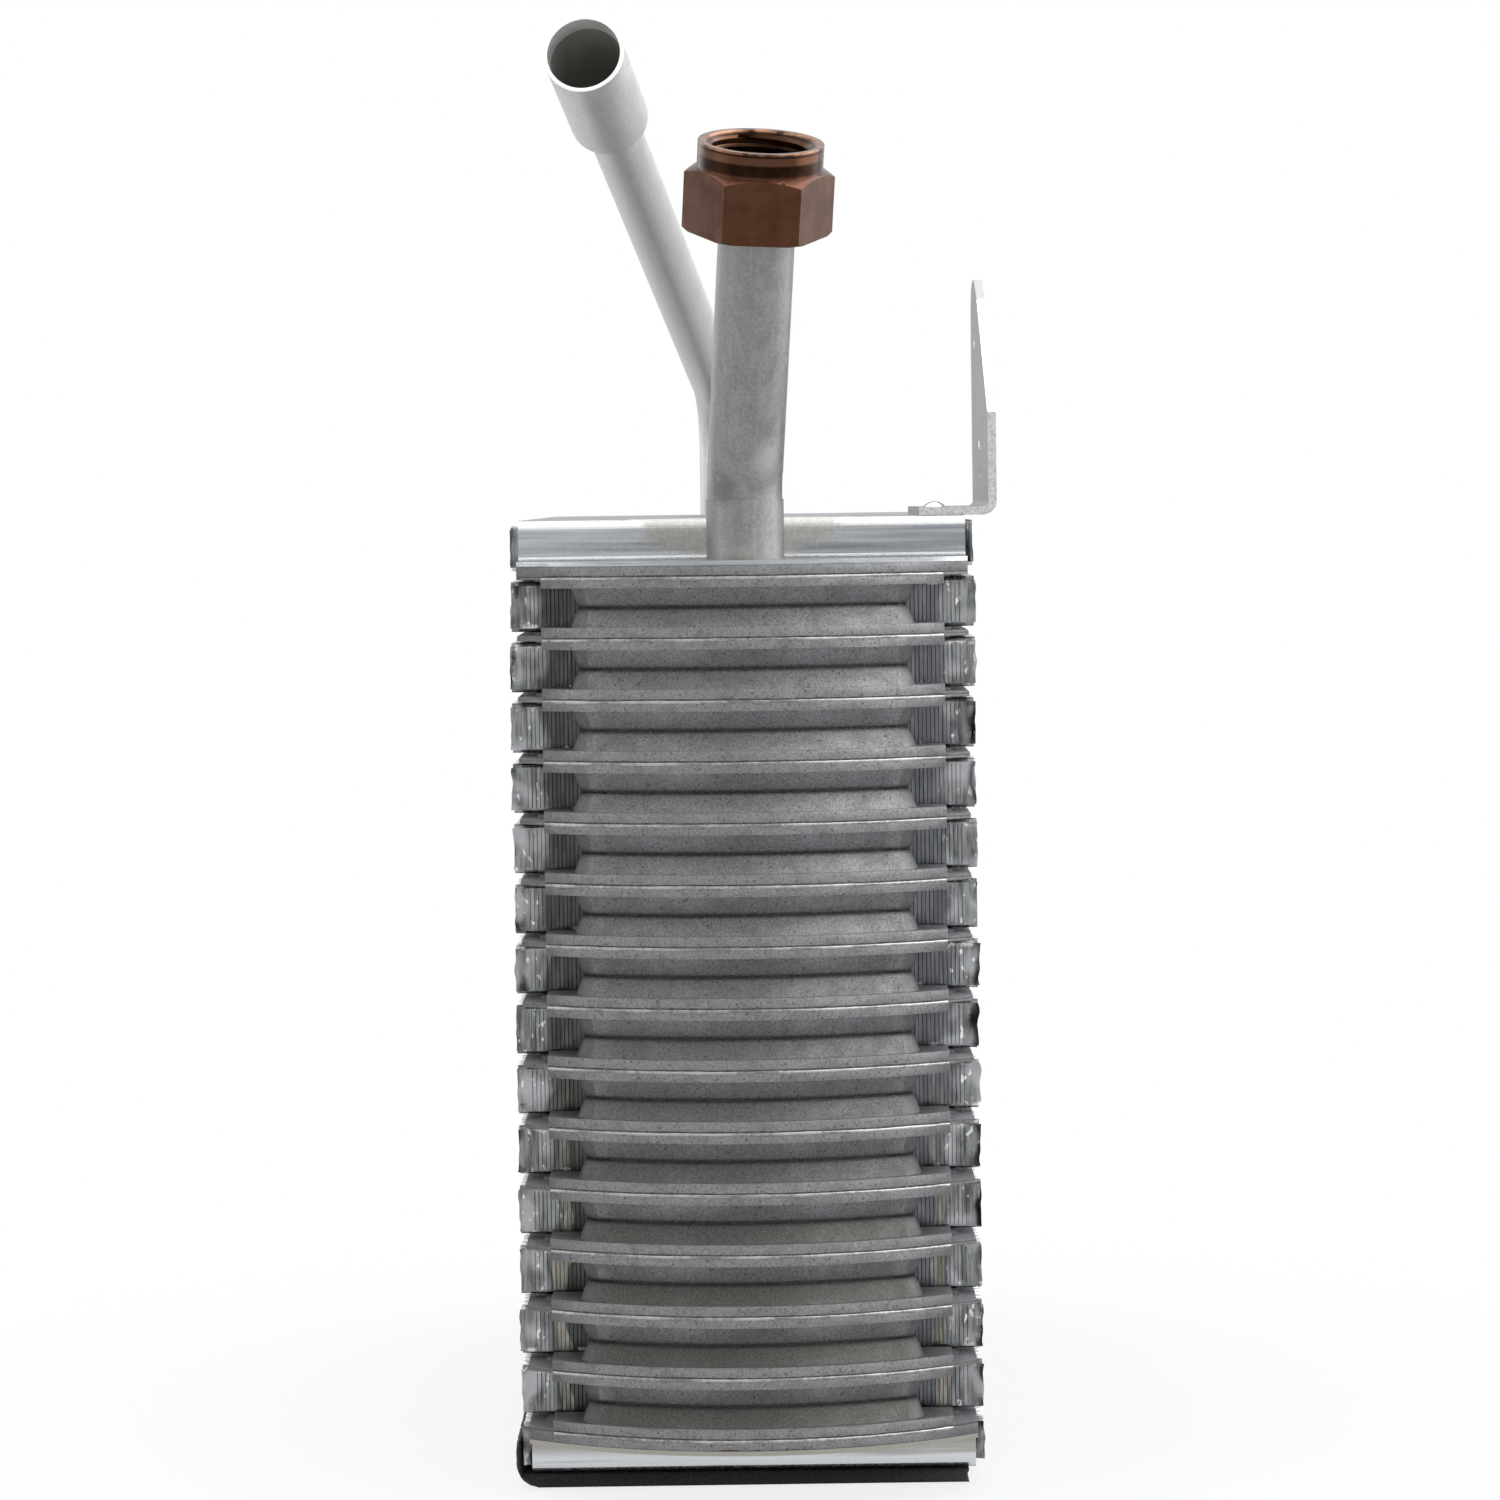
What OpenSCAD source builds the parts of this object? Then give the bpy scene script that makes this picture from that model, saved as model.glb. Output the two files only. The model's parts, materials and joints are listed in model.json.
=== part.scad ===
// Evaporator core of a vehicle air conditioner, brazed from stamped aluminium plates.
// X is the way the air flows, Y runs along the core, Z goes up through the stack of tubes.
// The origin is the middle of the underside, on the face that the core rests on.

/* [Stack] */
// Number of flat tubes, each of two stamped plates
tube_count = 15; // [3:1:15]
// Distance from one tube to the next
tube_pitch = 12.9; // [10:0.1:16]
// Outer height of a flat tube where the fins touch it
tube_h = 2.1; // [1.6:0.1:3]
// Length of the core from the front of one tank to the front of the other
core_len = 262; // [180:1:320]
// Width of a plate in the air direction
plate_w = 95.3; // [90:0.1:110]
// Thickness of the plate sheet
sheet_t = 0.5; // [0.4:0.05:0.6]

/* [Tanks] */
// Radius of the rounded front edge of the plates
front_r = 76.5; // [70:0.5:100]
// Distance from the side of a plate to the end of its lip
lip_inset = 5.25; // [4:0.05:8]
// Height of the lip above the joint between two plates
lip_h = 2.3; // [1.8:0.1:2.8]
// Length of the lip pan along the core
lip_depth = 22.3; // [21.8:0.1:24]
// Distance from the end of the lip to the end of the tank cup
cup_inset = 6.15; // [4:0.05:9]
// Radius of the rounded ends of the cup
cup_end_r = 6; // [5:0.1:6.4]
// Flat land between the front of the lip and the foot of the cup
cup_land = 1.5; // [1:0.1:2.2]
// How far the cup wall leans in from foot to neck
cup_draft = 1.5; // [0.8:0.1:2]
// Width of the flat ring where two cups are brazed together
neck_ring = 2.4; // [1.5:0.1:2.6]

/* [Channels] */
// Distance from the side of a plate to its raised flow channel
channel_inset = 3.65; // [2:0.05:8]
// Distance from the side of the channel to the passage into the tank
passage_inset = 6; // [4:0.5:14]

/* [Fins] */
// How far the fins stand out past the plates at each side
fin_proud = 1.85; // [0.5:0.05:4]
// Thickness of the fin sheet
fin_t = 0.15; // [0.1:0.01:0.25]
// Distance from one fin leg to the next
fin_step = 2.2; // [1.6:0.1:3]
// Corner of the folds at the crests
fin_fold = 0.4; // [0.2:0.05:0.6]
// Distance from the tank front to the first fin leg
fin_start = 24.9; // [24.4:0.1:30]
// Braze film between the fin crests and what they touch
braze_gap = 0.05; // [0.02:0.01:0.1]
// Height of the outermost fin rows, under the side plates
outer_fin_h = 9.75; // [7:0.05:12]

/* [Side plates] */
// How far a side plate stays inside the plates at each side
side_inset = 0.05; // [0:0.05:2]
// Thickness of a side plate
side_t = 1; // [0.8:0.1:1.4]
// Distance from the tank front to the upright wall
wall_start = 26.7; // [26:0.1:32]
// Inner radius of the bends
side_bend_r = 1.6; // [1:0.1:2.5]

/* [Foam] */
// Thickness of the foam strip under the core
foam_t = 3.3; // [2:0.1:6]
// Distance from the right side of the side plate to the end of the strip
foam_inset = 1.4; // [0.5:0.1:16]
// Thickness of the flap that is turned up on the left
foam_flap_t = 1.8; // [1:0.1:4]
// Height of that flap above the underside
foam_flap_h = 11.2; // [8:0.1:20]
// Outer radius of its lower corner
foam_corner_r = 5; // [3:0.1:6]

/* [Suction pipe] */
// Outer diameter of the suction pipe
suction_od = 15.9; // [12:0.1:17]
// Wall of the suction pipe
suction_wall = 1.2; // [0.8:0.1:1.6]
// Swell of the pipe in the diameter at its brazed foot
foot_swell = 0.4; // [0.2:0.1:1]
// Height of the foot above the tank
foot_h = 12.6; // [8:0.1:20]
// Distance of both pipes from the front of their tank
pipe_inset = 9.8; // [9.6:0.1:12]
// Sideways place of the suction pipe
suction_x = 0.8; // [-8:0.1:8]
// Lean of the pipe away from the upright
suction_lean = 16.4; // [5:0.1:30]
// Compass direction of the lean, from the air direction
suction_turn = -77.7; // [-100:0.1:-60]
// Radius of the bend above the foot
suction_bend_r = 22; // [18:0.5:40]
// Straight length from the bend to the nut
suction_straight = 50.8; // [30:0.1:80]

/* [Nut] */
// Width of the nut across its flats
nut_flats = 27; // [25:0.1:30]
// Height of the hexagon
nut_hex_h = 13.5; // [10:0.1:18]
// Turn of the nut about the pipe at rest
nut_turn = 20.7; // [0:0.1:60]
// Diameter of the turned collar
collar_d = 26; // [24:0.1:26.5]
// Height of the collar
collar_h = 5.5; // [3:0.1:8]
// Minor diameter of the thread
thread_d = 20.5; // [19:0.1:22]
// Diameter of the mouth where the thread starts
mouth_d = 23.2; // [22.5:0.1:23.6]
// Thickness of the floor that the pipe passes through
nut_floor = 3.5; // [2.5:0.1:5]
// Radial clearance between the nut and the pipe
nut_clear = 0.2; // [0.1:0.05:0.4]
// Diameter of the relief between the floor and the thread
relief_d = 22.4; // [22:0.1:23]
// Height of the relief
relief_h = 4; // [3.4:0.1:5]
// Diameter of the bead that keeps the nut on the pipe
bead_d = 19.4; // [18.6:0.1:19.8]
// Height of the bead
bead_h = 2; // [1:0.1:2.2]
// Length of the pipe end above the bead
pilot_len = 0.7; // [0.4:0.1:1]

/* [Inlet pipe] */
// Outer diameter of the inlet pipe
inlet_od = 12; // [9:0.1:13]
// Wall of the inlet pipe
inlet_wall = 1; // [0.8:0.1:1.4]
// Sideways place of the inlet pipe
inlet_x = -4.9; // [-12:0.1:8]
// Height of the bend's corner above the tank
inlet_rise = 38.4; // [30:0.1:60]
// Bend of the pipe away from the upright
inlet_lean = 72.1; // [40:0.1:85]
// Compass direction of the bend, from the air direction
inlet_turn = -97.3; // [-120:0.1:-70]
// Radius of the bend
inlet_bend_r = 19; // [18:0.5:26]
// Length from the bend's corner to the start of the socket
inlet_reach = 187; // [100:1:220]
// Bore of the socket at the end
socket_d = 15.9; // [14:0.1:17]
// Wall of the socket
socket_wall = 0.8; // [0.6:0.1:1.2]
// Length of the socket with its taper
socket_len = 41; // [20:1:60]
// Length of the taper
socket_taper = 5; // [3:0.5:8]

/* [Bracket] */
// Thickness of the bracket sheet
bracket_t = 1.8; // [1.2:0.1:2.5]
// How far the upright leaf stands out past the side plate
bracket_out = 7; // [4:0.1:12]
// Length of the flat leaf on the side plate
bracket_lap = 9.6; // [8:0.1:14]
// Front edge of the bracket, from the tank front
bracket_start = 29.5; // [29.5:0.1:45]
// Length of the bracket along the core
bracket_len = 72; // [64:1:80]
// Height of the upright leaf above the side plate
bracket_h = 52.4; // [48:0.1:60]
// Height where the front edge starts to slope back
bracket_shoulder = 22; // [18:0.1:26]
// Diameter of the two fixing holes
hole_d = 5; // [4:0.1:6]
// Diameter of the small locating hole
pilot_hole_d = 2.6; // [2:0.1:4]
// Distance of the upper fixing hole from the front edge
upper_hole_y = 56.5; // [50:0.5:58]
// Height of the upper fixing hole above the side plate
upper_hole_z = 39.4; // [34:0.1:42]
// Distance of the lower fixing hole from the front edge
lower_hole_y = 38.5; // [30:0.5:50]
// Height of the lower fixing hole above the side plate
lower_hole_z = 16.6; // [14:0.1:22]
// Diameter of the rivet head
rivet_head_d = 4.8; // [4:0.1:6]
// Diameter of the rivet shank
rivet_d = 3; // [2.4:0.1:3.6]

/* [Hidden] */
$fn = 64;

tube_numbers = [for (i = [1:tube_count]) i];
fin_numbers = [for (i = [1:tube_count + 1]) i];

// widths
lip_w = plate_w - 2 * lip_inset;
cup_w = lip_w - 2 * cup_inset;
channel_w = plate_w - 2 * channel_inset;
passage_w = channel_w - 2 * passage_inset;
fin_w = plate_w + 2 * fin_proud;
side_w = plate_w - 2 * side_inset;

// levels
tank_y = -core_len / 2;
stack_z = foam_t + side_t + outer_fin_h + 2 * braze_gap + tube_h / 2;
function joint_z(i) = stack_z + (i - 1) * tube_pitch;
top_joint_z = joint_z(tube_count);
deck_z = top_joint_z + lip_h + side_t;
roof_z = top_joint_z + tube_h / 2 + outer_fin_h + 2 * braze_gap + side_t;
inner_fin_h = tube_pitch - tube_h - 2 * braze_gap;

// tank front, an arc about this point
arc_y = tank_y + front_r;
function arc_drop(x) = front_r - sqrt(front_r * front_r - x * x);

// cup foot: the front arc runs into the round ends at this angle
cup_r = front_r - cup_land;
cup_end_x = cup_w / 2 - cup_end_r;
cup_angle = asin(cup_end_x / (cup_r - cup_end_r));
cup_end_y = arc_y - (cup_r - cup_end_r) * cos(cup_angle);
neck_z = tube_pitch / 2;

// nut seat along the pipe axis, and the play below the bead
seat_play = 0.3;
cone_h = 2;

// depth of both pipes below the top of their tank, and how much a pipe wall thins in its bend
root_depth = side_t + sheet_t;
bend_thinning = 0.05;

// colours
plate_grey = [0.55, 0.55, 0.55];
fin_grey = [0.7, 0.71, 0.72];
side_silver = [0.78, 0.79, 0.8];
pipe_grey = [0.68, 0.69, 0.69];
nut_brown = [0.4, 0.24, 0.18];
foam_black = [0.08, 0.08, 0.08];

// A sheet of thickness t that follows a line of points
function unit(v) = v / norm(v);
function left_of(a, b) = let (d = unit(b - a)) [-d.y, d.x];
function mitre(p, i) =
    let (n = len(p),
         before = left_of(p[max(i - 1, 0)], p[max(i, 1)]),
         after = left_of(p[min(i, n - 2)], p[min(i + 1, n - 1)]))
    (before + after) / (1 + before * after);
function ribbon(p, t) = concat(
    [for (i = [0:len(p) - 1]) p[i] + mitre(p, i) * t / 2],
    [for (i = [len(p) - 1:-1:0]) p[i] - mitre(p, i) * t / 2]
);
function arc(centre, r, from, to, steps) =
    [for (k = [0:steps]) let (a = from + (to - from) * k / steps) centre + r * [cos(a), sin(a)]];

// Turns a profile drawn as (along the core, up) into a body of width w in the air direction
module across(w) {
    rotate([90, 0, 90])
        linear_extrude(w, center = true)
            children();
}

module at_both_tanks() {
    children();
    mirror([0, 1, 0])
        children();
}

// Plates

module plate_outline() {
    middle = core_len - 2 * arc_drop(plate_w / 2);
    square([plate_w, middle], center = true);
    at_both_tanks()
        intersection() {
            translate([0, arc_y])
                circle(front_r);
            translate([-plate_w / 2, tank_y])
                square([plate_w, front_r / 2]);
        }
}

// The area inside the lip, set in by a distance from its edge
module lip_outline(w, inset) {
    intersection() {
        translate([0, arc_y])
            circle(front_r - inset);
        translate([-w / 2 + inset, tank_y])
            square([w - 2 * inset, lip_depth - inset]);
    }
}

function cup_points(inset) = concat(
    arc([0, arc_y], cup_r - inset, -90 - cup_angle, -90 + cup_angle, 16),
    arc([cup_end_x, cup_end_y], cup_end_r - inset, -80 + cup_angle, 90, 10),
    arc([-cup_end_x, cup_end_y], cup_end_r - inset, 90, 260 - cup_angle, 10)
);

// Section of the cup wall, from its foot at distance r to the ring at the neck
module cup_section(r) {
    lean = cup_draft;
    bend = 0.35;
    polygon([
        [r, lip_h - sheet_t], [r, lip_h], [r - lean, neck_z - bend], [r - lean - bend, neck_z],
        [r - lean - neck_ring, neck_z], [r - lean - neck_ring, neck_z - sheet_t],
        [r - lean - sheet_t, neck_z - sheet_t], [r - sheet_t, lip_h - sheet_t]
    ]);
}

module cup_wall() {
    translate([0, arc_y, 0])
        rotate(-90 - cup_angle)
            rotate_extrude(angle = 2 * cup_angle)
                cup_section(cup_r);
    for (side = [0, 1])
        mirror([side, 0, 0])
            translate([cup_end_x, cup_end_y, 0])
                rotate(-90 + cup_angle)
                    rotate_extrude(angle = 180 - cup_angle)
                        cup_section(cup_end_r);
    translate([0, cup_end_y, 0])
        across(2 * cup_end_x)
            cup_section(cup_end_r);
}

// Hollow side of the plate: the channel, the passages and the two tank pans
module plate_hollow(w) {
    depth = tube_h / 2 - sheet_t;
    channel_len = core_len - 2 * (lip_depth + sheet_t);
    translate([0, 0, depth / 2 - sheet_t / 2])
        cube([channel_w - 2 * sheet_t, channel_len, depth + sheet_t], center = true);
    at_both_tanks() {
        translate([-passage_w / 2, tank_y + lip_depth - 3 * sheet_t, -sheet_t])
            cube([passage_w, 6 * sheet_t, depth + sheet_t]);
        translate([0, 0, -sheet_t])
            linear_extrude(lip_h)
                lip_outline(w, sheet_t);
    }
}

module plate_skin(w) {
    linear_extrude(sheet_t)
        plate_outline();
    translate([0, 0, tube_h / 4])
        cube([channel_w, core_len - 2 * lip_depth, tube_h / 2], center = true);
    at_both_tanks()
        linear_extrude(lip_h)
            lip_outline(w, 0);
}

// A plate with an open cup at both ends, its hollow side down on the joint
module cup_plate() {
    difference() {
        plate_skin(lip_w);
        plate_hollow(lip_w);
        at_both_tanks()
            translate([0, 0, lip_h - 2 * sheet_t])
                linear_extrude(3 * sheet_t)
                    polygon(cup_points(sheet_t / 2));
    }
    at_both_tanks()
        cup_wall();
}

// A closed plate at the end of the stack, its lip as wide as the plate
module end_plate() {
    difference() {
        plate_skin(plate_w);
        plate_hollow(plate_w);
    }
}

module pipe_hole(x, y, d) {
    translate([x, y, -sheet_t])
        cylinder(d = d, h = lip_h + side_t + 2 * sheet_t);
}

module pipe_holes() {
    pipe_hole(suction_x, tank_y + pipe_inset, suction_od + foot_swell);
    pipe_hole(inlet_x, -tank_y - pipe_inset, inlet_od);
}

module lower_plate(i) {
    color(plate_grey)
        translate([0, 0, joint_z(i)])
            mirror([0, 0, 1])
                if (i == 1) end_plate();
                else cup_plate();
}

module upper_plate(i) {
    color(plate_grey)
        translate([0, 0, joint_z(i)])
            if (i == tube_count)
                difference() {
                    end_plate();
                    pipe_holes();
                }
            else cup_plate();
}

// Fins

// The folded line of a fin row of height h, its first leg at distance start from the tank
function fin_line(h, start) =
    let (legs = floor((core_len - 2 * start) / fin_step),
         first = -legs * fin_step / 2,
         reach = h / 2 - fin_t / 2)
    [for (k = [0:legs], bend = [0, 1])
        let (up = k % 2 == 0 ? 1 : -1, y = first + k * fin_step)
        each bend == 0
            ? [if (k > 0) [y - fin_fold, -up * reach], [y, up * (fin_fold - reach)]]
            : [[y, up * (reach - fin_fold)], if (k < legs) [y + fin_fold, up * reach]]];

module fin_row(i) {
    outer = i == 1 || i == tube_count + 1;
    h = outer ? outer_fin_h : inner_fin_h;
    start = outer ? wall_start + side_t + fin_fold : fin_start;
    z = i == 1 ? joint_z(1) - tube_h / 2 - braze_gap - h / 2
               : joint_z(i - 1) + tube_h / 2 + braze_gap + h / 2;
    color(fin_grey)
        translate([0, 0, z])
            across(fin_w)
                polygon(ribbon(fin_line(h, start), fin_t));
}

// Side plates

// Half of the sheet's middle line, from the flange on the tank to the flat over the fins
function side_line(rise) =
    let (r = side_bend_r + side_t / 2, y = tank_y + wall_start + side_t / 2)
    concat(
        [[tank_y, side_t / 2]],
        arc([y - r, side_t / 2 + r], r, -90, 0, 6),
        arc([y + r, rise + side_t / 2 - r], r, 180, 90, 6)
    );

function both_ends(p) = concat(p, [for (i = [len(p) - 1:-1:0]) [-p[i].x, p[i].y]]);

module side_plate_sheet() {
    rise = roof_z - deck_z;
    intersection() {
        across(side_w)
            polygon(ribbon(both_ends(side_line(rise)), side_t));
        linear_extrude(rise + 2 * side_t)
            plate_outline();
    }
}

module top_side_plate() {
    color(side_silver)
        difference() {
            translate([0, 0, deck_z - side_t])
                side_plate_sheet();
            translate([0, 0, top_joint_z])
                pipe_holes();
            translate([bracket_rivet_x, rivet_y, roof_z - 2 * side_t])
                cylinder(d = rivet_d, h = 3 * side_t);
        }
}

module bottom_side_plate() {
    color(side_silver)
        translate([0, 0, joint_z(1) - lip_h])
            mirror([0, 0, 1])
                side_plate_sheet();
}

// Foam

module foam_strip() {
    left = -fin_w / 2 - braze_gap;
    outer = left - foam_flap_t;
    right = side_w / 2 - foam_inset;
    length = core_len - 2 * wall_start;
    color(foam_black)
        rotate([90, 0, 0])
            linear_extrude(length, center = true)
                polygon(concat(
                    [[right, foam_t], [left, foam_t], [left, foam_flap_h]],
                    [[left - foam_flap_t / 2, foam_flap_h], [outer, foam_flap_h - foam_flap_t]],
                    arc([outer + foam_corner_r, foam_corner_r], foam_corner_r, 180, 270, 8),
                    [[right, 0]]
                ));
}

// Pipes

// A bend of a round bar that leaves upwards and turns towards +X
module bend(bend_r, angle, r) {
    translate([bend_r, 0, 0])
        mirror([1, 0, 0])
            rotate([90, 0, 0])
                rotate_extrude(angle = angle)
                    translate([bend_r, 0])
                        circle(r);
}

module after_bend(bend_r, angle) {
    translate([bend_r * (1 - cos(angle)), 0, bend_r * sin(angle)])
        rotate([0, angle, 0])
            children();
}

// The wall of a pipe: an upright foot of radius foot_r, a bend, and a straight end of any section
module pipe_wall(foot_r, rise, bend_r, lean, r, bore_r, end_section) {
    translate([0, 0, -root_depth])
        difference() {
            cylinder(r = foot_r, h = root_depth + rise);
            translate([0, 0, -side_t])
                cylinder(r = bore_r, h = root_depth + rise + 2 * side_t);
        }
    translate([0, 0, rise]) {
        difference() {
            bend(bend_r, lean, r - bend_thinning);
            bend(bend_r, lean, bore_r + bend_thinning);
        }
        after_bend(bend_r, lean)
            rotate_extrude()
                polygon(end_section);
    }
}

module suction_frame() {
    translate([suction_x, tank_y + pipe_inset, deck_z])
        rotate(suction_turn)
            children();
}

module nut_frame() {
    suction_frame()
        translate([0, 0, foot_h])
            after_bend(suction_bend_r, suction_lean)
                translate([0, 0, suction_straight])
                    children();
}

bead_z = nut_floor + cone_h + seat_play;
suction_end = suction_straight + bead_z + bead_h + pilot_len;

module suction_pipe() {
    r = suction_od / 2;
    bore_r = r - suction_wall;
    bead = suction_straight + bead_z;
    color(pipe_grey)
        suction_frame()
            pipe_wall(r + foot_swell / 2, foot_h, suction_bend_r, suction_lean, r, bore_r, [
                [bore_r, 0], [r, 0], [r, bead], [bead_d / 2, bead], [bead_d / 2, bead + bead_h],
                [r, bead + bead_h], [r, suction_end], [bore_r, suction_end]
            ]);
}

module pipe_nut() {
    flat_r = nut_flats / 2;
    corner_r = flat_r / cos(30);
    crown_r = (flat_r + collar_d / 2) / 2;
    round_r = corner_r + 1;
    top = nut_hex_h + collar_h;
    hole_r = suction_od / 2 + nut_clear;
    mouth_h = (mouth_d - thread_d) / 2;
    relief_z = nut_floor + cone_h;
    color(nut_brown)
        nut_frame()
            difference() {
                union() {
                    intersection() {
                        rotate(nut_turn)
                            cylinder(r = corner_r, h = nut_hex_h, $fn = 6);
                        rotate_extrude()
                            polygon([
                                [0, 0], [flat_r + 1, 0], [round_r, (corner_r - flat_r) * tan(30)],
                                [round_r, nut_hex_h - (round_r - crown_r) * tan(30)],
                                [crown_r, nut_hex_h], [0, nut_hex_h]
                            ]);
                    }
                    cylinder(d = collar_d, h = top);
                }
                rotate_extrude()
                    polygon([
                        [0, -1], [hole_r, -1], [hole_r, nut_floor], [relief_d / 2, relief_z],
                        [relief_d / 2, relief_z + relief_h], [thread_d / 2, relief_z + relief_h],
                        [thread_d / 2, top - mouth_h], [mouth_d / 2 + 1, top + 1], [0, top + 1]
                    ]);
            }
}

module inlet_pipe() {
    r = inlet_od / 2;
    bore_r = r - inlet_wall;
    end_r = socket_d / 2;
    corner = inlet_bend_r * tan(inlet_lean / 2);
    straight = inlet_reach - corner;
    cup = straight + socket_taper;
    end = straight + socket_len;
    color(pipe_grey)
        translate([inlet_x, -tank_y - pipe_inset, deck_z])
            rotate(inlet_turn)
                pipe_wall(r, inlet_rise - corner, inlet_bend_r, inlet_lean, r, bore_r, [
                    [bore_r, 0], [r, 0], [r, straight], [end_r + socket_wall, cup],
                    [end_r + socket_wall, end], [end_r, end], [end_r, cup], [bore_r, straight]
                ]);
}

// Bracket

bracket_y = tank_y + bracket_start;
bracket_x = side_w / 2 + bracket_out;
bracket_inner_x = side_w / 2 - bracket_lap;
bracket_rivet_x = bracket_inner_x + rivet_head_d / 2 + 1;
rivet_y = bracket_y + rivet_head_d;
bracket_bend_r = 1.2;
pilot_drop = 7.6;
bracket_holes = [
    [upper_hole_y, upper_hole_z, hole_d],
    [lower_hole_y, lower_hole_z, hole_d],
    [lower_hole_y - hole_d, lower_hole_z - pilot_drop, pilot_hole_d]
];

module bracket_leaf_outline() {
    back = bracket_len;
    crown = 10;
    peak_y = 0.75 * back;
    slope_y = 0.58 * back;
    peak_drop = 5;
    polygon(concat(
        [[0, 0], [back, 0]],
        arc([back - crown, bracket_h - crown], crown, 0, 90, 8),
        [[peak_y, bracket_h], [slope_y, bracket_h - peak_drop], [0, bracket_shoulder]]
    ));
}

module bracket() {
    flat_end = bracket_x - bracket_t - bracket_bend_r;
    color(side_silver)
        translate([0, bracket_y, roof_z])
            difference() {
                union() {
                    translate([bracket_inner_x, 0, 0])
                        cube([flat_end - bracket_inner_x, bracket_len, bracket_t]);
                    translate([flat_end, bracket_len, bracket_t + bracket_bend_r])
                        rotate([90, 0, 0])
                            rotate([0, 0, -90])
                                rotate_extrude(angle = 90)
                                    translate([bracket_bend_r, 0])
                                        square([bracket_t, bracket_len]);
                    intersection() {
                        translate([bracket_x - bracket_t / 2, 0, 0])
                            across(bracket_t)
                                bracket_leaf_outline();
                        translate([0, -bracket_t, bracket_t + bracket_bend_r])
                            cube([2 * bracket_x, bracket_len + 2 * bracket_t, bracket_h]);
                    }
                }
                for (hole = bracket_holes)
                    translate([bracket_x - 2 * bracket_t, hole[0], hole[1]])
                        rotate([0, 90, 0])
                            cylinder(d = hole[2], h = 3 * bracket_t);
                translate([bracket_rivet_x, rivet_y - bracket_y, -bracket_t])
                    cylinder(d = rivet_d, h = 3 * bracket_t);
            }
}

module bracket_rivet() {
    head_h = rivet_head_d / 4;
    dome_d = 1.25 * rivet_head_d;
    color(side_silver)
        translate([bracket_rivet_x, rivet_y, roof_z - side_t]) {
            cylinder(d = rivet_d, h = side_t + bracket_t + head_h / 2);
            translate([0, 0, side_t + bracket_t])
                intersection() {
                    cylinder(d = rivet_head_d, h = head_h);
                    translate([0, 0, head_h - dome_d / 2])
                        sphere(d = dome_d);
                }
        }
}

for (i = tube_numbers) {
    lower_plate(i);
    upper_plate(i);
}
for (i = fin_numbers)
    fin_row(i);
bottom_side_plate();
top_side_plate();
foam_strip();
suction_pipe();
pipe_nut();
inlet_pipe();
bracket();
bracket_rivet();
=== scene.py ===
"""Looks of the evaporator core: materials, louvred fins, braze, stains and a soft studio.

Lengths are in metres unless a comment says millimetres. Colours are linear RGB.
"""

import json
import math
import random

import bpy
import bmesh
from mathutils import Matrix, Vector, noise

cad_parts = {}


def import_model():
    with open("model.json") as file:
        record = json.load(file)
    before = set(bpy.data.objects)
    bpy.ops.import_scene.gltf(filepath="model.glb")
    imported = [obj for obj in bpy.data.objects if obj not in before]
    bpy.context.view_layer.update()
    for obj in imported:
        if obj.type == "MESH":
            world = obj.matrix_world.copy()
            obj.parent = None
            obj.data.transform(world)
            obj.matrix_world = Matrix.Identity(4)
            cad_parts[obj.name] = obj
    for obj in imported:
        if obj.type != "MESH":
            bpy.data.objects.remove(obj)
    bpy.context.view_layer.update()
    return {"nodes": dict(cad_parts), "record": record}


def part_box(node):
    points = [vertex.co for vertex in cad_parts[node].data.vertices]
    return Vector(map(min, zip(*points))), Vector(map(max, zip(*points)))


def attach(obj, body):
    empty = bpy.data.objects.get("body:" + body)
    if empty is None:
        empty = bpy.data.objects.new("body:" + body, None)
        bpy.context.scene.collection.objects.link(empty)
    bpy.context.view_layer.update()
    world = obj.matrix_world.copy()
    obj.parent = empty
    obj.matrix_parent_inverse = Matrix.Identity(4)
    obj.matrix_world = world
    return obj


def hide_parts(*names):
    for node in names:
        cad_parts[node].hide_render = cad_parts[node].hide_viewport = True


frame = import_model()
nodes = frame["nodes"]


# measures shared with the CAD source

MM = 0.001
TUBES = 15
FIN_ROWS = 16
JOINT_1 = 15.2 * MM                # the joint between the two plates of the lowest tube
PITCH = 12.9 * MM                  # from one tube to the next
TANK_Y = 131 * MM                  # the middle of a tank's front, from the core's middle
FRONT_R = 76.5 * MM                # the arc of a tank's front
NECK_R = FRONT_R - 3.4 * MM        # the same arc where two cups meet
LIP_X = 42.4 * MM                  # half the width of a lip

INLET_AXIS = Vector((-0.1209140, -0.9438812, 0.3073566)).normalized()
SOCKET_BORE_R = 8.1 * MM
SOCKET_TONE_DEPTH = 30 * MM        # how far in the bore keeps a tone of its own

NUT_FOOT = Vector((4.046165, -136.088258, 266.644662)) * MM
NUT_AXIS = Vector((0.0601473, -0.2758605, 0.9593140)).normalized()
NUT_BORE_R = 10.25 * MM


# materials

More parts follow.
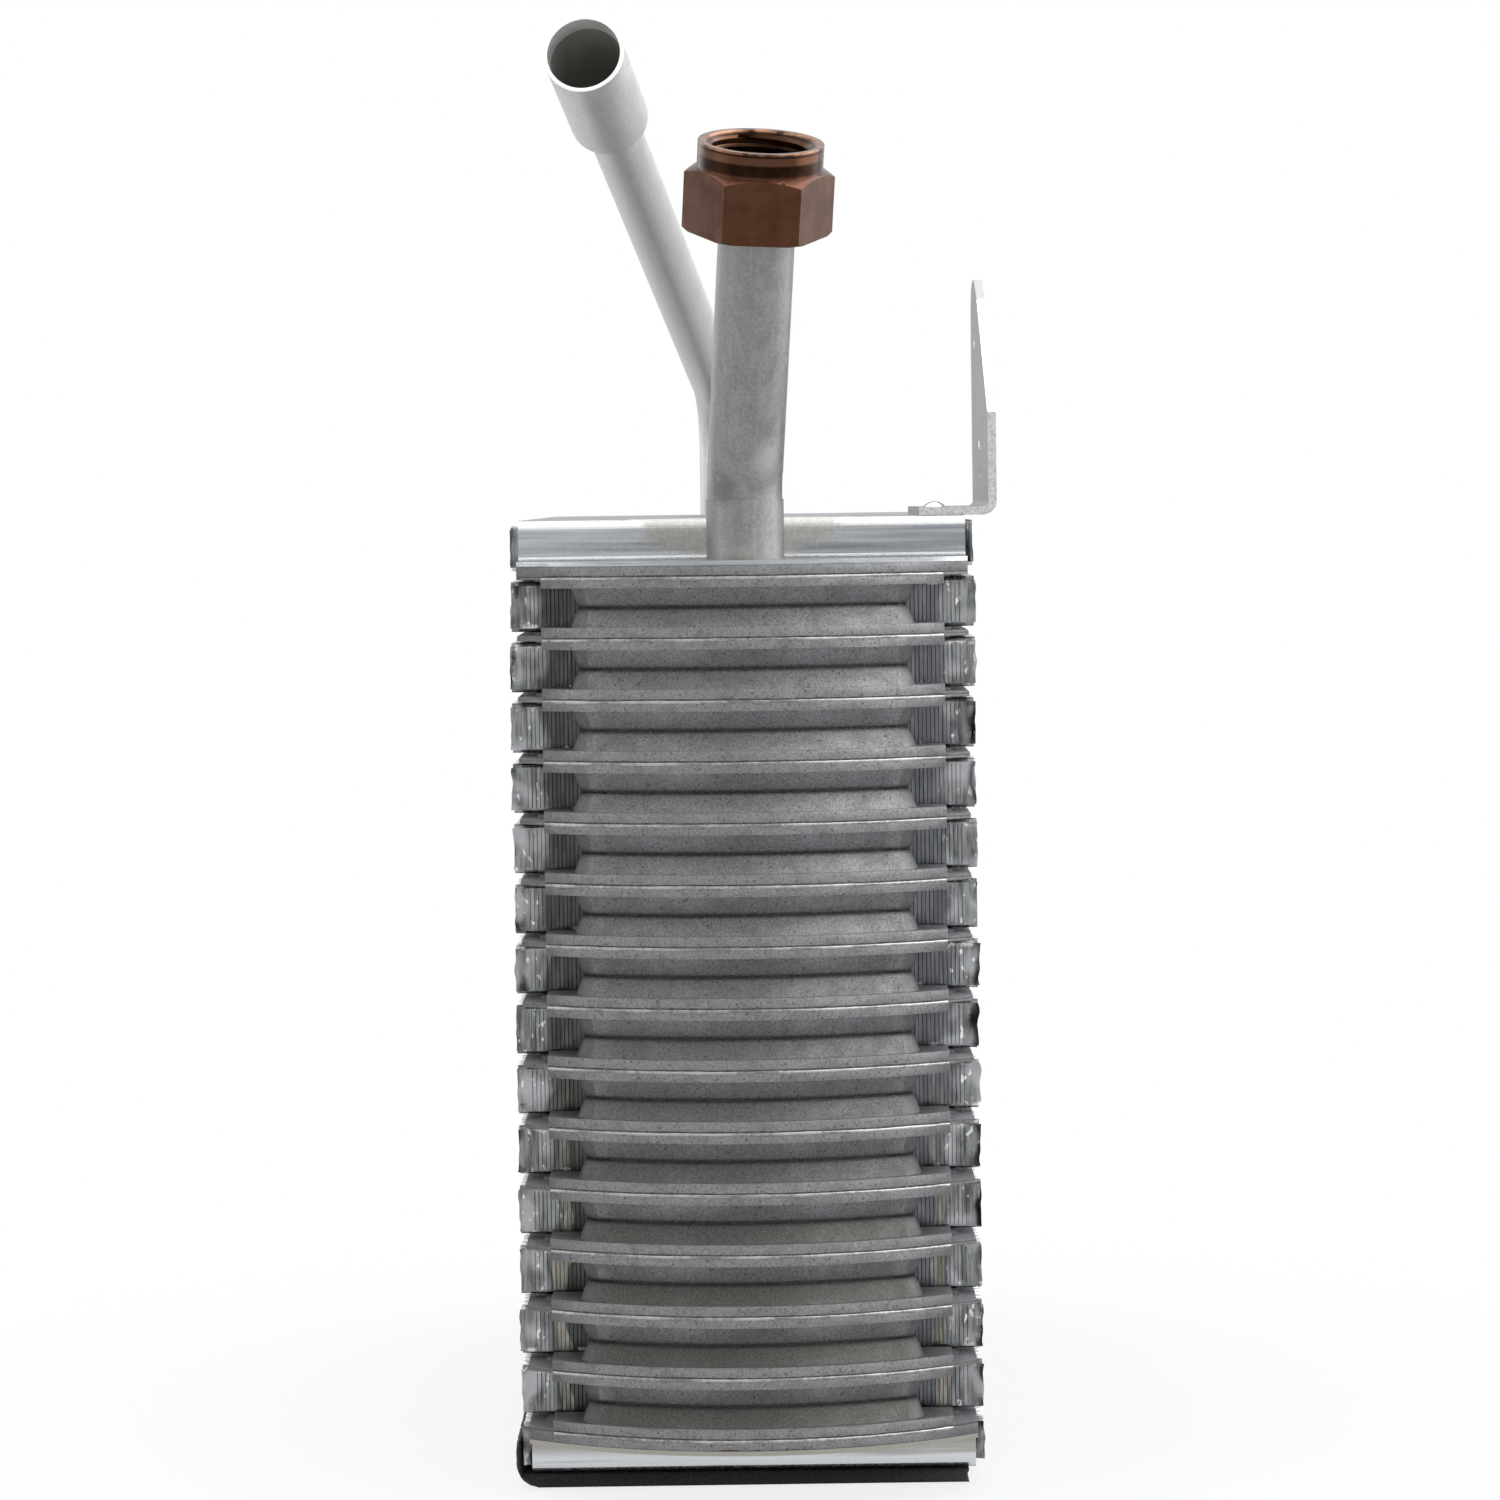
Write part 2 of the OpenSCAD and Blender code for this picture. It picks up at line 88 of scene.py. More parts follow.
class Shader:
    """A node material with one Principled BSDF and short helpers for procedural textures."""

    def __init__(self, name, color, metallic, roughness):
        self.material = bpy.data.materials.new(name)
        self.material.use_nodes = True
        self.tree = self.material.node_tree
        self.bsdf = self.tree.nodes["Principled BSDF"]
        self.set("Base Color", (*color, 1.0))
        self.set("Metallic", metallic)
        self.set("Roughness", roughness)
        self.coords = self.node("ShaderNodeTexCoord").outputs["Object"]

    def node(self, kind, **values):
        made = self.tree.nodes.new(kind)
        for key, value in values.items():
            setattr(made, key, value)
        return made

    def link(self, a, b):
        self.tree.links.new(a, b)

    def set(self, socket, value):
        self.bsdf.inputs[socket].default_value = value

    def color(self, socket):
        self.link(socket, self.bsdf.inputs["Base Color"])

    def rough(self, socket):
        self.link(socket, self.bsdf.inputs["Roughness"])

    def bump(self, value, strength, depth):
        made = self.node("ShaderNodeBump")
        made.inputs["Strength"].default_value = strength
        made.inputs["Distance"].default_value = depth
        self.link(value, made.inputs["Height"])
        self.link(made.outputs["Normal"], self.bsdf.inputs["Normal"])

    def noise(self, size, detail, rough, stretch=(1, 1, 1)):
        """Noise with features about size metres across, between 0 and 1."""
        mapping = self.node("ShaderNodeMapping")
        mapping.inputs["Scale"].default_value = [s / size for s in stretch]
        self.link(self.coords, mapping.inputs["Vector"])
        tex = self.node("ShaderNodeTexNoise")
        tex.inputs["Scale"].default_value = 1.0
        tex.inputs["Detail"].default_value = detail
        tex.inputs["Roughness"].default_value = rough
        self.link(mapping.outputs["Vector"], tex.inputs["Vector"])
        return tex.outputs["Fac"]

    def ramp(self, value, low, high, out_low=0.0, out_high=1.0):
        """A smooth step from out_low, where value is low, to out_high, where it is high."""
        made = self.node("ShaderNodeMapRange", interpolation_type="SMOOTHSTEP")
        self.link(value, made.inputs["Value"])
        for key, number in (("From Min", low), ("From Max", high),
                            ("To Min", out_low), ("To Max", out_high)):
            made.inputs[key].default_value = number
        return made.outputs["Result"]

    def math(self, operation, a, b):
        made = self.node("ShaderNodeMath", operation=operation)
        for socket, value in zip(made.inputs, (a, b)):
            if isinstance(value, (int, float)):
                socket.default_value = value
            else:
                self.link(value, socket)
        return made.outputs["Value"]

    def plus(self, a, b):
        return self.math("ADD", a, b)

    def times(self, a, b):
        return self.math("MULTIPLY", a, b)

    def absolute(self, a):
        return self.math("ABSOLUTE", a, 0.0)

    def waver(self, value, by, amount):
        """The value, moved up or down by noise, at most by half the amount."""
        return self.plus(value, self.times(self.math("SUBTRACT", by, 0.5), amount))

    def mix(self, fac, a, b):
        """A colour mix; a and b are colours or sockets."""
        made = self.node("ShaderNodeMix", data_type="RGBA")
        sockets = [s for s in made.inputs if s.type == "RGBA"]
        for socket, value in zip(sockets, (a, b)):
            if isinstance(value, (tuple, list)):
                socket.default_value = (*value[:3], 1.0)
            else:
                self.link(value, socket)
        self.link(fac, made.inputs["Factor"])
        return [s for s in made.outputs if s.type == "RGBA"][0]

    def vector(self, operation, a, b=None):
        """A vector operation on the socket a and, where it is given, the vector b."""
        made = self.node("ShaderNodeVectorMath", operation=operation)
        self.link(a, made.inputs[0])
        if b is not None:
            made.inputs[1].default_value = b
        return made.outputs["Value" if operation in ("LENGTH", "DOT_PRODUCT") else "Vector"]

    def axis(self, socket, letter):
        split = self.node("ShaderNodeSeparateXYZ")
        self.link(socket, split.inputs[0])
        return split.outputs[letter]

    def place(self, letter):
        """The object coordinate along X, Y or Z, in metres."""
        return self.axis(self.coords, letter)

    def normal(self, letter):
        """The X, Y or Z part of the surface's normal."""
        return self.axis(self.node("ShaderNodeNewGeometry").outputs["Normal"], letter)

    def facing_up(self, low, high):
        """0 where the upward part of the normal is low or less, 1 where it is high or more."""
        return self.ramp(self.normal("Z"), low, high)

    def from_joint(self, offset=0.0):
        """Distance up or down from the nearest joint of a tube, or from offset above one."""
        wrap = self.node("ShaderNodeMath", operation="WRAP")
        self.link(self.math("SUBTRACT", self.place("Z"), JOINT_1 + offset), wrap.inputs[0])
        wrap.inputs[1].default_value = PITCH / 2
        wrap.inputs[2].default_value = -PITCH / 2
        return self.absolute(wrap.outputs[0])

    def along_line(self, foot, axis):
        """How far along a line a point lies, in metres from the line's foot."""
        return self.math("SUBTRACT", self.vector("DOT_PRODUCT", self.coords, axis), foot.dot(axis))

    def from_line(self, foot, axis):
        """Distance from a line, in metres."""
        offset = self.vector("SUBTRACT", self.coords, foot)
        return self.vector("LENGTH", self.vector("CROSS_PRODUCT", offset, axis))

    def spot(self, centre, radii, soft):
        """1 inside an ellipsoid about centre, fading to 0 at its edge."""
        mapping = self.node("ShaderNodeMapping", vector_type="TEXTURE")
        mapping.inputs["Location"].default_value = centre
        mapping.inputs["Scale"].default_value = radii
        self.link(self.coords, mapping.inputs["Vector"])
        return self.ramp(self.vector("LENGTH", mapping.outputs["Vector"]), 1.0, 1.0 - soft)

    def stain(self, base, centre, radii, color, ragged=1.0, soft=0.2):
        """A stain with a ragged edge over the colour base; centre and radii in millimetres."""
        inside = self.spot([c * MM for c in centre], [r * MM for r in radii], 0.9)
        edge = self.waver(inside, self.noise(1.6 * MM, 3, 0.7), ragged)
        return self.mix(self.ramp(edge, 0.5 - soft, 0.5 + soft), base, color)


PLATE_STAINS = (
    # x, z, half width and half height in millimetres, and the colour
    (-5.2, 12.95, 5.2, 0.6, (0.1, 0.055, 0.035)),
    (0.7, 12.9, 2.0, 0.6, (0.1, 0.06, 0.04)),
    (27.8, 17.7, 0.8, 0.8, (0.05, 0.05, 0.048)),
    (39.9, 12.2, 0.7, 0.7, (0.05, 0.05, 0.048)),
    (-39.7, 11.4, 0.9, 0.9, (0.06, 0.055, 0.05)),
    (-36.3, 11.4, 0.8, 0.8, (0.06, 0.055, 0.05)),
)
STAIN_Y, STAIN_DEPTH = -129.5, 6   # millimetres: the stains lie on the near tank's front


def plate_material():
    """Dull grained sheet, painted lighter or darker by the way it faces and painted dark on its
    flanks, with painted shade in the necks and stains low down.
    """
    s = Shader("plate metal", (0.2, 0.2, 0.2), 0.8, 0.5)
    grain = s.noise(0.42 * MM, 4, 0.8)
    cloud = s.noise(4 * MM, 4, 0.65)
    speck = s.noise(0.6 * MM, 2, 0.5)

    # painted light and shade: a tone for each way that the sheet faces, up-facing faces darker and
    # warmer towards the bottom, flat tops lighter
    grained = s.ramp(grain, 0.34, 0.66)
    under = s.mix(grained, (0.125, 0.13, 0.136), (0.235, 0.243, 0.252))
    lip = s.mix(grained, (0.165, 0.169, 0.173), (0.275, 0.28, 0.286))
    upper = s.mix(grained, (0.14, 0.142, 0.145), (0.26, 0.263, 0.268))
    upper_low_down = s.mix(grained, (0.058, 0.0565, 0.0525), (0.12, 0.117, 0.109))
    flat, painted_flank_shade = (0.3, 0.31, 0.325), (0.085, 0.086, 0.088)
    upper = s.mix(s.ramp(s.place("Z"), 150 * MM, 40 * MM), upper, upper_low_down)
    base = s.mix(s.facing_up(-0.45, -0.1), under, lip)
    base = s.mix(s.facing_up(0.1, 0.45), base, upper)
    base = s.mix(s.facing_up(0.88, 0.98), base, flat)
    # painted shade: faces turned sideways darker
    base = s.mix(s.ramp(s.absolute(s.normal("X")), 0.42, 0.6, 0.0, 0.6), base, painted_flank_shade)

    # clouds, specks, painted shade in the necks between the cups, and stains
    dull, dust, painted_neck_shade = (0.12, 0.12, 0.115), (0.065, 0.065, 0.063), (0.04, 0.04, 0.039)
    base = s.mix(s.ramp(cloud, 0.45, 0.75, 0.0, 0.4), base, dull)
    base = s.mix(s.ramp(speck, 0.6, 0.7, 0.0, 0.75), base, dust)
    in_neck = s.ramp(s.from_joint(PITCH / 2), 0.95 * MM, 0.15 * MM)
    base = s.mix(s.times(in_neck, s.ramp(speck, 0.25, 0.6, 0.5, 0.85)), base, painted_neck_shade)
    for x, z, wide, high, color in PLATE_STAINS:
        base = s.stain(base, (x, STAIN_Y, z), (wide, STAIN_DEPTH, high), color)

    s.color(base)
    s.rough(s.ramp(cloud, 0.3, 0.7, 0.42, 0.58))
    s.bump(grain, 0.5, 0.15 * MM)
    return s.material


def braze_and_highlight_material():
    """Bright solidified braze, uneven along its run; partly a painted highlight, lighter than the
    plate where the seam's edge catches the light.
    """
    s = Shader("braze bead", (0.4, 0.4, 0.4), 1.0, 0.32)
    fine = s.noise(0.7 * MM, 3, 0.7)
    run = s.noise(9 * MM, 3, 0.6, stretch=(1, 1, 0.3))
    tone = s.plus(s.times(fine, 0.4), s.times(run, 0.6))
    s.color(s.mix(s.ramp(tone, 0.38, 0.62), (0.18, 0.18, 0.185), (0.42, 0.42, 0.43)))
    s.rough(s.ramp(run, 0.3, 0.7, 0.3, 0.46))
    s.bump(fine, 0.4, 0.12 * MM)
    return s.material


def seam_shadow_material():
    """Painted shadow: the near-black line that stands for the shade in an open joint."""
    s = Shader("seam shadow", (0.06, 0.06, 0.058), 0.3, 0.7)
    fine = s.noise(1.2 * MM, 3, 0.7)
    s.color(s.mix(s.ramp(fine, 0.35, 0.7), (0.035, 0.035, 0.035), (0.12, 0.12, 0.118)))
    s.bump(fine, 0.4, 0.1 * MM)
    return s.material


def fin_material():
    """Foil: its end folds painted dark between the plates as shade and a dark reflection, paler
    outside with painted highlights and glints, the rest bright.
    """
    s = Shader("fin foil", (0.3, 0.31, 0.32), 1.0, 0.3)
    cloud = s.noise(3.5 * MM, 3, 0.6)
    streak = s.noise(0.9 * MM, 3, 0.6, stretch=(1, 1, 0.1))
    glint = s.noise(4.5 * MM, 3, 0.6)
    pillow = s.noise(7.5 * MM, 1, 0.4)
    sparkle = s.noise(1.6 * MM, 2, 0.55, stretch=(1, 1, 0.5))
    wander = s.noise(11 * MM, 1, 0.5)

    # painted shade and a dark reflection between the plates, darker on the left and lighter to the
    # right, where the light comes from
    to_right = s.ramp(s.place("X"), -20 * MM, 20 * MM)
    dark = s.mix(to_right, (0.057, 0.06, 0.057), (0.105, 0.11, 0.122))
    pale = s.mix(to_right, (0.09, 0.095, 0.092), (0.16, 0.166, 0.182))
    inner = s.mix(s.ramp(streak, 0.4, 0.7), dark, pale)

    # the outer strips, with painted soft highlights and painted sparkling glints
    painted_soft_highlight, painted_glint = (0.42, 0.43, 0.445), (0.8, 0.81, 0.82)
    outer = s.mix(s.ramp(streak, 0.3, 0.65), (0.1, 0.103, 0.108), (0.27, 0.28, 0.287))
    outer = s.mix(s.ramp(pillow, 0.45, 0.68, 0.0, 0.8), outer, painted_soft_highlight)
    outer = s.mix(s.ramp(sparkle, 0.62, 0.7, 0.0, 0.9), outer, painted_glint)

    # a beige strip just inside them in the lower rows
    reach = s.waver(s.absolute(s.place("X")), wander, 7 * MM)
    beige = s.mix(s.ramp(streak, 0.35, 0.65), (0.15, 0.142, 0.125), (0.29, 0.275, 0.245))
    strip = s.times(s.ramp(reach, 38.9 * MM, 39.3 * MM), s.ramp(reach, 42.0 * MM, 41.6 * MM))
    strip = s.times(strip, s.ramp(s.place("Z"), 100 * MM, 55 * MM))
    inner = s.mix(strip, inner, beige)
    base = s.mix(s.ramp(reach, 41.6 * MM, 44.0 * MM), inner, outer)

    # bare foil behind the end folds, and painted glints on the crests
    painted_crest_glint = (0.72, 0.73, 0.73)
    clean = s.mix(s.ramp(streak, 0.3, 0.7), (0.8, 0.81, 0.82), (0.92, 0.925, 0.93))
    base = s.mix(s.ramp(s.absolute(s.place("Y")), 102 * MM, 101 * MM), base, clean)
    crest = s.times(s.ramp(s.from_joint(), 3.0 * MM, 2.3 * MM), s.ramp(glint, 0.58, 0.68, 0.0, 0.8))

    s.color(s.mix(crest, base, painted_crest_glint))
    s.rough(s.ramp(cloud, 0.3, 0.7, 0.22, 0.42))
    s.bump(streak, 0.3, 0.1 * MM)
    return s.material


FLUX_CENTRE, FLUX_RADII = (-0.8, -103, 214), (38, 28, 22)   # millimetres
FLUX_SPOTS = ((15.4, -103.6, 1.3), (17.8, -103.4, 0.9), (12.6, -104.0, 0.7))   # x, y, radius
FLUX_SPOT_Z, FLUX_SPOT_DEPTH = 209.3, 3


def side_material():
    """Rolled sheet, with flux round the suction pipe and a cream wall on the bottom plate."""
    s = Shader("side plate sheet", (0.6, 0.61, 0.63), 1.0, 0.3)
    fine = s.noise(1 * MM, 3, 0.6)
    roll = s.noise(2.6 * MM, 3, 0.6, stretch=(0.03, 0.2, 1.0))
    ragged = s.noise(6 * MM, 4, 0.7)
    height = s.place("Z")

    # the walls: the bottom plate's is cream above, pale below
    painted_lit_slope, cream_line = (0.42, 0.43, 0.44), (0.24, 0.225, 0.2)
    wall = s.mix(s.ramp(roll, 0.36, 0.64), (0.21, 0.225, 0.25), (0.47, 0.485, 0.505))
    # painted light: faces sloping up lighter, as lit from above
    wall = s.mix(s.facing_up(0.25, 0.9), wall, painted_lit_slope)
    low_wall = s.mix(s.ramp(height, 9.5 * MM, 6.0 * MM), (0.33, 0.32, 0.29), (0.62, 0.64, 0.67))
    low_wall = s.mix(s.ramp(roll, 0.3, 0.5, 0.6, 0.0), low_wall, cream_line)
    base = s.mix(s.ramp(height, 30 * MM, 20 * MM), wall, low_wall)

    # the top plate's upper bend, painted near white as a highlight, and its flat
    painted_bend_highlight = (0.86, 0.87, 0.87)
    bend = s.times(s.facing_up(0.04, 0.3), s.ramp(height, 205 * MM, 206.5 * MM))
    base = s.mix(bend, base, painted_bend_highlight)
    flat_top = s.facing_up(0.93, 0.995)
    flat_color = s.mix(s.ramp(ragged, 0.4, 0.6), (0.21, 0.215, 0.22), (0.26, 0.265, 0.27))
    base = s.mix(flat_top, base, flat_color)

    # dried flux with brown spots
    brown = (0.28, 0.17, 0.09)
    inside = s.spot([c * MM for c in FLUX_CENTRE], [r * MM for r in FLUX_RADII], 0.95)
    flux = s.ramp(s.waver(inside, ragged, 0.5), 0.2, 0.34)
    flux_color = s.mix(s.ramp(fine, 0.3, 0.7), (0.5, 0.49, 0.46), (0.66, 0.65, 0.61))
    base = s.mix(s.times(flux, 0.85), base, flux_color)
    for x, y, radius in FLUX_SPOTS:
        radii = (radius, FLUX_SPOT_DEPTH, radius)
        base = s.stain(base, (x, y, FLUX_SPOT_Z), radii, brown, ragged=0.6)

    s.color(base)
    s.link(s.ramp(flux, 0.0, 1.0, 1.0, 0.35), s.bsdf.inputs["Metallic"])
    rough = s.plus(s.ramp(fine, 0.3, 0.7, 0.22, 0.34), s.times(flux, 0.35))
    s.rough(s.plus(rough, s.times(flat_top, 0.15)))
    s.bump(fine, 0.08, 0.1 * MM)
    return s.material


def pipe_material(name, low, high, smooth, matt, stains=(), mouth=None):
    """Drawn tube between the tones low and high; mouth is the middle of its open socket."""
    s = Shader(name, low, 0.85, 0.42)
    fine = s.noise(0.6 * MM, 3, 0.65)
    cloud = s.noise(5 * MM, 4, 0.65)
    drawn = s.noise(1.2 * MM, 3, 0.6, stretch=(1, 1, 0.06))
    dark_dots = s.noise(1.6 * MM, 2, 0.5)
    tone = s.plus(s.times(cloud, 0.3), s.plus(s.times(fine, 0.45), s.times(drawn, 0.25)))
    base = s.mix(s.ramp(tone, 0.39, 0.61), low, high)
    # darker dots here and there
    base = s.mix(s.ramp(dark_dots, 0.7, 0.78, 0.0, 0.6), base, [c * 0.55 for c in low])

    if mouth:
        # the cut end, the bore and the clean strip just inside the mouth; inwards is negative
        cut_color, bore_color, clean = (0.93, 0.93, 0.93), (0.46, 0.46, 0.43), (0.95, 0.95, 0.95)
        inwards = s.along_line(mouth, INLET_AXIS)
        base = s.mix(s.ramp(inwards, -0.5 * MM, -0.15 * MM), base, cut_color)
        in_bore = s.ramp(s.from_line(mouth, INLET_AXIS), SOCKET_BORE_R + 0.15 * MM, SOCKET_BORE_R)
        fades = s.ramp(inwards, -SOCKET_TONE_DEPTH - 4 * MM, -SOCKET_TONE_DEPTH)
        in_bore = s.times(in_bore, fades)
        base = s.mix(in_bore, base, bore_color)
        base = s.mix(s.times(in_bore, s.ramp(inwards, -5.4 * MM, -5.0 * MM)), base, clean)

    for centre, radii, color in stains:
        base = s.stain(base, centre, radii, color, soft=0.5)
    s.color(base)
    s.rough(s.ramp(cloud, 0.3, 0.7, smooth, matt))
    s.bump(fine, 0.3, 0.1 * MM)
    return s.material


def nut_material():
    """Brown anodised metal; its collar painted darker, with a paler band, as reflections, and a
    mottled painted highlight along its rim.
    """
    s = Shader("nut anodised", (0.06, 0.03, 0.02), 1.0, 0.24)
    fine = s.noise(0.8 * MM, 4, 0.65)
    cloud = s.noise(6 * MM, 3, 0.6)
    height = s.along_line(NUT_FOOT, NUT_AXIS)
    painted_reflection_band, painted_rim_highlight, scratch = (0.085, 0.041, 0.024), (0.26, 0.14, 0.09), (0.2, 0.13, 0.1)

    base = s.mix(s.ramp(cloud, 0.3, 0.7), (0.062, 0.025, 0.013), (0.09, 0.04, 0.024))
    # painted reflections: the collar darker, with a paler band below a painted highlight along the
    # rim
    collar = s.mix(s.ramp(cloud, 0.35, 0.65), (0.011, 0.005, 0.003), (0.024, 0.011, 0.006))
    base = s.mix(s.ramp(height, 13.6 * MM, 14.4 * MM), base, collar)
    band = s.times(s.ramp(height, 16.2 * MM, 16.8 * MM), s.ramp(height, 18.3 * MM, 17.9 * MM))
    base = s.mix(band, base, painted_reflection_band)
    rim = s.times(s.ramp(height, 18.35 * MM, 18.8 * MM), s.ramp(cloud, 0.36, 0.6))
    base = s.mix(rim, base, painted_rim_highlight)

    s.color(s.mix(s.ramp(fine, 0.68, 0.76, 0.0, 0.7), base, scratch))
    s.rough(s.ramp(cloud, 0.3, 0.7, 0.2, 0.32))
    s.bump(fine, 0.12, 0.08 * MM)
    return s.material


def bracket_material():
    """Pale matt sheet with brighter cut edges, those sloping upward painted near white as lit from
    above.
    """
    s = Shader("bracket sheet", (0.5, 0.5, 0.48), 0.9, 0.42)
    fine = s.noise(0.6 * MM, 3, 0.6)
    cloud = s.noise(5 * MM, 3, 0.6)
    patch, painted_lit_cut = (0.46, 0.46, 0.445), (0.92, 0.92, 0.91)

    face = s.mix(s.ramp(fine, 0.3, 0.7), (0.3, 0.302, 0.29), (0.4, 0.402, 0.388))
    face = s.mix(s.ramp(cloud, 0.4, 0.75, 0.0, 0.5), face, patch)
    cut = s.mix(s.ramp(fine, 0.35, 0.65), (0.44, 0.44, 0.435), (0.62, 0.62, 0.61))
    # painted light: cut edges that slope upward near white, as lit from above
    cut = s.mix(s.facing_up(0.1, 0.3), cut, painted_lit_cut)
    on_cut = s.ramp(s.absolute(s.normal("Y")), 0.3, 0.5)

    s.color(s.mix(on_cut, face, cut))
    s.set("Specular Tint", (0.7, 0.7, 0.69, 1.0))
    s.bump(fine, 0.2, 0.1 * MM)
    return s.material


def foam_material():
    """Black open-celled foam."""
    s = Shader("foam", (0.02, 0.02, 0.018), 0.0, 0.9)
    cell = s.noise(0.7 * MM, 4, 0.7)
    s.color(s.mix(s.ramp(cell, 0.35, 0.75), (0.012, 0.012, 0.011), (0.05, 0.049, 0.045)))
    s.bump(cell, 0.7, 0.4 * MM)
    return s.material


def socket_mouth():
    """The middle of the inlet pipe's open end."""
    points = [v.co for v in nodes["inlet_pipe"].data.vertices]
    most = max(co.dot(INLET_AXIS) for co in points)
    ring = [co for co in points if co.dot(INLET_AXIS) > most - 0.1 * MM]
    return sum(ring, Vector()) / len(ring)


SUCTION_STAINS = (
    # centre and radii in millimetres, and the colour: flux at the foot, and two patches
    ((0.8, -121.2, 199), (14, 14, 9), (0.36, 0.355, 0.325)),
    ((4.5, -128.5, 221), (5, 5, 8), (0.36, 0.36, 0.355)),
    ((-4, -128, 214), (5, 5, 6), (0.15, 0.152, 0.155)),
)

looks = {
    "plate": plate_material(),
    "fin": fin_material(),
    "side_plate": side_material(),
    "pipe": pipe_material("pipe aluminium", (0.46, 0.465, 0.46), (0.56, 0.565, 0.56),
                          smooth=0.4, matt=0.5, mouth=socket_mouth()),
    "nut": nut_material(),
    "bracket": bracket_material(),
    "foam": foam_material(),
}
braze_and_highlight_look = braze_and_highlight_material()
seam_shadow_look = seam_shadow_material()
suction_look = pipe_material("suction pipe aluminium", (0.19, 0.195, 0.195), (0.265, 0.27, 0.27),
                             smooth=0.4, matt=0.54, stains=SUCTION_STAINS)
slot_of = {p["node"]: p["material_slot"] for p in frame["record"]["subparts"]}

for name, obj in nodes.items():
    obj.data.materials.clear()
    obj.data.materials.append(suction_look if name == "suction_pipe" else looks[slot_of[name]])


# pieces

def round_edges(obj, width, segments=2, angle=35):
    """Softens the edges of a CAD node with modifiers; its own mesh stays."""
    weld = obj.modifiers.new("weld", "WELD")
    weld.merge_threshold = 0.005 * MM
    bevel = obj.modifiers.new("bevel", "BEVEL")
    bevel.width = width
    bevel.segments = segments
    bevel.limit_method = "ANGLE"
    bevel.angle_limit = math.radians(angle)


class Sheets:
    """Collects quads for one mesh."""

    def __init__(self):
        self.verts, self.faces = [], []

    def quad(self, *corners):
        n = len(self.verts)
        self.verts.extend(corners)
        self.faces.append((n, n + 1, n + 2, n + 3))

    def strip(self, rows):
        """A grid of points, each row of the same length."""
        n, w = len(self.verts), len(rows[0])
        for row in rows:
            self.verts.extend(row)
        for r in range(len(rows) - 1):
            for c in range(w - 1):
                at = n + r * w + c
                self.faces.append((at, at + 1, at + w + 1, at + w))

    def polygon(self, points, turned):
        """One face on points of its own, the other way round where it is turned."""
        ring = list(range(len(self.verts), len(self.verts) + len(points)))
        self.verts.extend(points)
        self.faces.append(tuple(ring[::-1] if turned else ring))

    def piece(self, name, slot, body="core", smooth=False, look=None):
        """A new piece of the scene from the quads, riding on a body."""
        mesh = bpy.data.meshes.new(name)
        mesh.from_pydata(self.verts, [], self.faces)
        mesh.polygons.foreach_set("use_smooth", [smooth] * len(self.faces))
        mesh.update()
        made = bpy.data.objects.new(name, mesh)
        bpy.context.scene.collection.objects.link(made)
        made.data.materials.append(look or looks[slot])
        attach(made, body)
        return made


# braze, partly a painted highlight, and painted seam shadows at the tank ends

BEAD_STEP = 0.9 * MM               # along the arc
BEAD_SIDES = 4                     # round the bead's section
BEAD_SINK = 0.02 * MM              # how far a bead's foot lies in the plate
BEAD_SWELL, BEAD_JITTER = 0.35, 0.12   # shares of a bead's size, smooth and from step to step
BEAD_WANDER = 0.07 * MM            # up and down
SEAM_REACH = LIP_X - 0.15 * MM     # half the width of a seam
NECK_REACH = 29 * MM               # half the width of the joint between two cups
# the first and the last of these are near-black ridges of painted shadow, in the open seam and in
# the necks
SEAM_SHADOW_LINE = (0.16 * MM, 0.16 * MM, 0.05 * MM)    # above the joint, half height, proud
SEAM_BEAD = (-0.33 * MM, 0.3 * MM, 0.16 * MM)
NECK_SHADOW_LINE = (PITCH / 2, 0.12 * MM, 0.12 * MM)


def front_bead(name, joint_z, size, radius, reach, draw, look):
    """An uneven ridge along the front arc, beside the joint at joint_z, at both tanks."""
    above, half_height, proud = size
    z = joint_z + above
    g = Sheets()
    steps = int(2 * reach / BEAD_STEP)
    for tank in (1, -1):
        rows = []
        for k in range(steps + 1):
            x = -reach + 2 * reach * k / steps
            swell = 1 + BEAD_SWELL * noise.noise(Vector((x * 220, z * 900 + tank, 3.1)))
            swell *= 1 + draw.uniform(-BEAD_JITTER, BEAD_JITTER)
            wander = BEAD_WANDER * noise.noise(Vector((x * 90, z * 700, 8.4)))
            row = []
            for j in range(BEAD_SIDES + 1):
                a = math.pi * j / BEAD_SIDES
                r = radius + proud * swell * math.sin(a) - BEAD_SINK
                y = -TANK_Y + FRONT_R - math.sqrt(r * r - x * x)
                row.append((x, tank * y, z + wander - half_height * swell * math.cos(a)))
            rows.append(row if tank == 1 else row[::-1])
        g.strip(rows)
    g.piece(name, "plate", smooth=True, look=look)


def tank_ends():
    """The open seam of each tube as a painted shadow line, its braze bead, and the fine joints
    between the cups as painted shadow lines.
    """
    draw = random.Random(5)
    for i in range(1, TUBES + 1):
        z = JOINT_1 + (i - 1) * PITCH
        front_bead("seam_shadow_line_%d" % i, z, SEAM_SHADOW_LINE, FRONT_R, SEAM_REACH, draw, seam_shadow_look)
        front_bead("seam_bead_%d" % i, z, SEAM_BEAD, FRONT_R, SEAM_REACH, draw, braze_and_highlight_look)
        if i < TUBES:
            front_bead("neck_shadow_line_%d" % i, z, NECK_SHADOW_LINE, NECK_R, NECK_REACH, draw, seam_shadow_look)


tank_ends()

for name, obj in nodes.items():
    if "_plate_" in name:
        round_edges(obj, 0.22 * MM)


# fins: one folded foil a row, louvred, its edges and crests a little uneven

